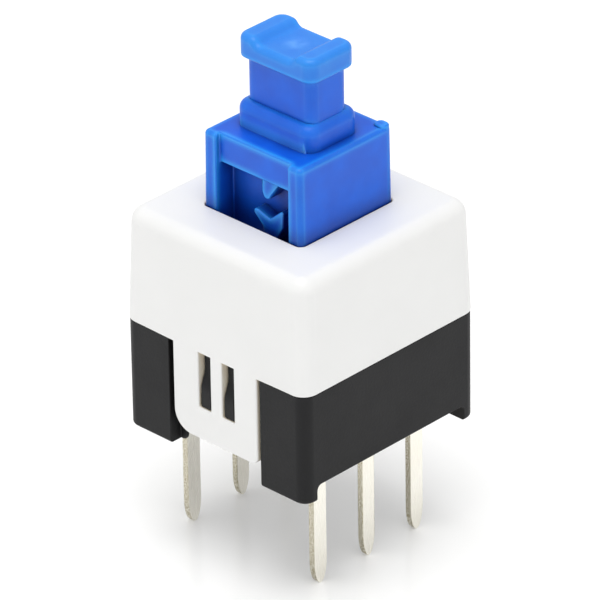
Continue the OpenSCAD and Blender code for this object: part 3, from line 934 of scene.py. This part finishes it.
# %% [markdown]
# ## The plunger
#
# The plunger is one moulding: a block with the cam track in its front, a tier, a neck and a saddle-shaped
# head for the button cap. Each storey is a block with its own edge radius, and the storeys are joined at the
# end. The block comes first. Its front is opened between two pillars, and the lintel above the opening is
# set back a little.

# %% Plunger: block and track
block_x, block_y = 1.89, 1.875
block_top, block_straight_z = 9.42, 7.0
block_lean = 0.02             # above the cover the block's faces lean in this far
block_corner_r, block_edge_r = 0.15, 0.12
track_x = 1.39
track_low, track_top = 5.75, 8.5
lintel_y, track_floor_y = -1.69, -1.17

body = block("moulded_plunger", (-block_x, -block_y, plunger_low.z), (block_x, block_y, block_top))
pick_all_faces(body)
bpy.ops.mesh.bisect(plane_co=(0, 0, block_straight_z), plane_no=(0, 0, 1))
narrow_top(body, block_lean)
round_edges(body, block_corner_r, upright, segments=5)
round_edges(body, block_edge_r, lambda e: ends_at(e, 2, block_top), segments=4)
cut(body, block("set_back", (-track_x, -block_y - PAST, track_low), (track_x, lintel_y, block_top + PAST)))
cut(body, block("track", (-track_x, -block_y - PAST, track_low), (track_x, track_floor_y, track_top)))
tell(body)

# %% [markdown]
# On each side the block has a shallow seat for a contact clip, and above it an ear that stops the plunger
# under the cover's roof. From below the block is bored out for the return spring.

# %% Plunger: clip seats, ears and bore
seat_half, seat_low, seat_high, seat_deep = 1.65, 3, 5.35, 0.1
ear_half, ear_low, ear_high, ear_sunk = 1.2, 5.55, 6.28, 0.3
spring_bore_r, spring_bore_l, spring_bore_middle = 1.2, 3.0, 4.0
plunger_edge_r = 0.05

for side in (-1, 1):
    low_x, high_x = on_side(side, block_x - seat_deep, block_x + PAST)
    cut(body, block("clip_seat", (low_x, -seat_half, seat_low), (high_x, seat_half, seat_high)))
    low_x, high_x = on_side(side, block_x - ear_sunk, plunger_high.x)
    add(body, block("ear", (low_x, -ear_half, ear_low), (high_x, ear_half, ear_high)))
cut(body, rod(spring_bore_r, spring_bore_l, (0, 0, spring_bore_middle), 48))
soften(body, plunger_edge_r, segments=3)
tell(body)

# %% [markdown]
# The tier has large upright corners and a broad round along its top, and the neck is plain. Both reach a
# little into their neighbours, so that all join as solids.

# %% Plunger: tier and neck
tier_x, tier_y, tier_top = 1.47, 1.03, 10.20
neck_x, neck_y, neck_top = 1.28, 0.74, 11.54
tier_corner_r, tier_edge_r, neck_corner_r = 0.40, 0.28, 0.28
LAP = 0.2

tier = block("tier", (-tier_x, -tier_y, block_top - LAP), (tier_x, tier_y, tier_top))
round_edges(tier, tier_corner_r, upright, segments=8)
round_edges(tier, tier_edge_r, lambda e: ends_at(e, 2, tier_top), segments=7)
neck = block("neck", (-neck_x, -neck_y, tier_top - LAP), (neck_x, neck_y, neck_top + LAP))
round_edges(neck, neck_corner_r, upright, segments=7)
tell(tier)
tell(neck)

# %% [markdown]
# The head is cut across into three strips by two bisecting planes. Its two outer strips are then extruded
# upwards and their inner edges moved outwards, which leaves a saddle with sloping sides. The edges of the
# saddle and the upright ones are rounded first and the rim after them, so that the rounds blend.

# %% Plunger: head
head_x, head_y, head_top = 1.45, 0.93, plunger_high.z
head_corner_r, head_edge_r, head_lower_r, saddle_r = 0.36, 0.18, 0.07, 0.11
saddle_half, saddle_depth, saddle_slope = 0.66, 0.20, 0.16

head = block("head", (-head_x, -head_y, neck_top), (head_x, head_y, head_top - saddle_depth))
for x in (-saddle_half, saddle_half):
    pick_all_faces(head)
    bpy.ops.mesh.bisect(plane_co=(x, 0, 0), plane_no=(1, 0, 0))
pick(head, "FACE", lambda f: f.normal.z > 0.9 and abs(f.calc_center_median().x) > saddle_half)
bpy.ops.mesh.extrude_region_move(TRANSFORM_OT_translate={"value": (0, 0, saddle_depth)})
rest_hands()
for side in (-1, 1):
    pick(head, "EDGE", lambda e: ends_at(e, 2, head_top) and ends_at(e, 0, side * saddle_half))
    bpy.ops.transform.translate(value=(side * saddle_slope, 0, 0))
tidy(head)
round_edges(head, saddle_r, lambda e: along(e, 1) and abs(e.verts[0].co.x) < head_x - NEAR, segments=4)
round_edges(head, head_corner_r, lambda e: upright(e) and abs(e.verts[0].co.x) > head_x - NEAR, segments=8)


def upper_edge(edge):
    """True for a sharp edge of the head that is not at its underside."""
    return edge.calc_face_angle(0) > math.radians(30) and not ends_at(edge, 2, neck_top)


round_edges(head, head_edge_r, upper_edge, segments=6)
round_edges(head, head_lower_r, lambda e: ends_at(e, 2, neck_top), segments=3)
tell(head)

# %% [markdown]
# The heart is an island on the floor of the track, and the latch wire's hook runs round it. A tooth hangs
# from the lintel and sends the hook the right way. Each is a circle whose corners are moved to the outline
# and which is then extruded backwards into the floor of the track.

# %% Plunger: heart and tooth
island_front_y, island_rear_y = -1.59, track_floor_y + 0.1
notch_z, heart_foot_z, tooth_root_z = 7.27, 6.36, track_top + 0.1


def island(name, outline):
    """A plate whose outline has the given (x, z) corners, anticlockwise as seen from the front."""
    rest_hands()
    bpy.ops.mesh.primitive_circle_add(vertices=len(outline), radius=1, fill_type="NGON",
                                      location=(0, island_front_y, 0), rotation=(math.pi / 2, 0, 0))
    piece = settle(bpy.context.object)
    piece.name = name
    for vert, (x, z) in zip(piece.data.vertices, outline):
        vert.co.x, vert.co.z = x, z
    pick_all_faces(piece)
    bpy.ops.mesh.extrude_region_move(TRANSFORM_OT_translate={"value": (0, island_rear_y - island_front_y, 0)})
    rest_hands()
    return soften(piece, plunger_edge_r, segments=3, angle=25)


heart = island("heart", [
    (0.40, notch_z), (-0.08, notch_z + 0.17), (-0.20, notch_z + 0.13), (-0.20, notch_z + 0.02),
    (0.12, notch_z - 0.30), (0.30, heart_foot_z), (0.50, heart_foot_z), (0.93, notch_z - 0.12),
    (0.95, notch_z + 0.38), (0.86, notch_z + 0.40)])
tooth = island("tooth", [
    (0.12, tooth_root_z), (0.12, 8.06), (0.20, 7.90), (0.32, 7.86), (0.42, 7.92), (0.93, tooth_root_z)])
tell(heart)
tell(tooth)

# %% [markdown]
# The low stub on the rear right corner of the block is where the plastic ran into the mould. It is the last
# form, and then the storeys are joined to one moulding.

# %% Plunger: stub and joining
stub_w, stub_d, stub_top = 0.42, 0.36, block_top + 0.07
stub_corner_r, stub_edge_r = 0.15, 0.06
stub_x, stub_y = block_x - block_lean - 0.005, block_y - block_lean - 0.005    # just inside the faces

stub = block("gate_stub", (stub_x - stub_w, stub_y - stub_d, block_top - LAP), (stub_x, stub_y, stub_top))
round_edges(stub, stub_corner_r, upright, segments=4)
round_edges(stub, stub_edge_r, lambda e: ends_at(e, 2, stub_top), segments=3)
for part in (heart, tooth, tier, neck, head, stub):
    add(body, part)
hand_over(body, "plunger", "plunger_plastic", blue_plastic, "plunger")

# %% [markdown]
# ## The terminals
#
# A terminal is a flat blade of plated strip with a bullet-shaped point. Both corners of the point are
# beveled until they almost meet in a half round, and the half round is stretched to the bullet.

# %% Terminals: the blade
blade_half, blade_t = 0.25, pin_high.x - pin_low.x
point_h = 0.75
point_r = blade_half * 0.999    # a full half round would leave an edge of no length
plate_low_z = 1.25


def make_blade():
    """A blade at the middle of the frame, from its point up to the floor of the base."""
    blade = block("blade", (-blade_t / 2, -blade_half, pin_low.z),
                  (blade_t / 2, blade_half, plate_low_z + LAP))
    round_edges(blade, point_r, lambda e: along(e, 0) and ends_at(e, 2, pin_low.z), segments=9)
    for vert in blade.data.vertices:
        depth = pin_low.z + blade_half - vert.co.z
        if depth > 0:
            vert.co.z = pin_low.z + point_h - depth * point_h / blade_half
        elif vert.co.z < 0:
            vert.co.z = pin_low.z + point_h
    return blade


blade_master = make_blade()
tell(blade_master)

# %% [markdown]
# Inside the base each terminal ends in a contact plate along the side wall: a low one in front, a tall one
# in the middle and a high one on a riser at the rear, so that the clips can switch between them. Copies of
# the blade are set in their places, joined with their plates and softened.

# %% Terminals: plates and copies
nose_z = 3.9                            # height of a clip's contact nose at rest
front_plate_top = nose_z - 1.10
nose_margin = 0.6                       # plate above and below a resting nose
flag_inner_y, middle_half = 1.0, 0.45
terminal_edge_r = 0.025


def strip(name, low, high):
    """A block as thick as the strip between two (y, z) corners."""
    return block(name, (-blade_t / 2, *low), (blade_t / 2, *high))


def contact_plate(place):
    """Front, middle or rear plate, about the middle of the frame."""
    outer = terminal_pitch + blade_half
    corners = {-1: ((-outer, plate_low_z), (-flag_inner_y, front_plate_top)),
               0: ((-middle_half, plate_low_z), (middle_half, nose_z + nose_margin)),
               1: ((flag_inner_y, nose_z - nose_margin), (outer, nose_z + nose_margin))}
    return strip("plate", *corners[place])


for side, side_name in ((-1, "left"), (1, "right")):
    for place, place_name in ((-1, "front"), (0, "middle"), (1, "rear")):
        node = "terminal_" + side_name + "_" + place_name
        terminal = own_copy(blade_master, "plated_" + node)
        terminal.location = (0, place * terminal_pitch, 0)
        settle(terminal)
        if place == 1:
            add(terminal, strip("riser", (terminal_pitch - blade_half, plate_low_z),
                                (terminal_pitch + blade_half, nose_z)))
        add(terminal, contact_plate(place))
        terminal.location = (side * terminal_x, 0, 0)
        settle(terminal)
        soften(terminal, terminal_edge_r)
        hand_over(terminal, "housing", "terminal_metal", plated_strip, node)
bpy.data.objects.remove(blade_master)

# %% [markdown]
# ## The pieces inside
#
# The return spring grows shorter as the plunger goes down, which a rigid piece can't do. A copy of the
# frame's coil is joined up to one surface, keeps the frame's shape and stands for the node.

# %% Return spring
NEAR_METRES = 1e-7      # this piece stays in metres throughout

spring = bpy.data.objects.new("coiled_return_spring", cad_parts["return_spring"].data.copy())
bpy.context.scene.collection.objects.link(spring)
pick_all_faces(spring)
bpy.ops.mesh.remove_doubles(threshold=NEAR_METRES)
smooth_rounds(spring)
coat(spring, spring_wire)
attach(spring, "housing")
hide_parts("return_spring")
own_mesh(spring)

# %% [markdown]
# The latch wire and the two contact clips already have their true shape in the frame, and are mostly hidden
# by the mouldings. They keep it and only get their metals.

# %% Metals on the inner pieces
inner_metals = {"latch_pin": latch_wire, "contact_left": bare_brass, "contact_right": bare_brass}
for node, material in inner_metals.items():
    coat(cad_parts[node], material)
    print(node, "->", material.name)
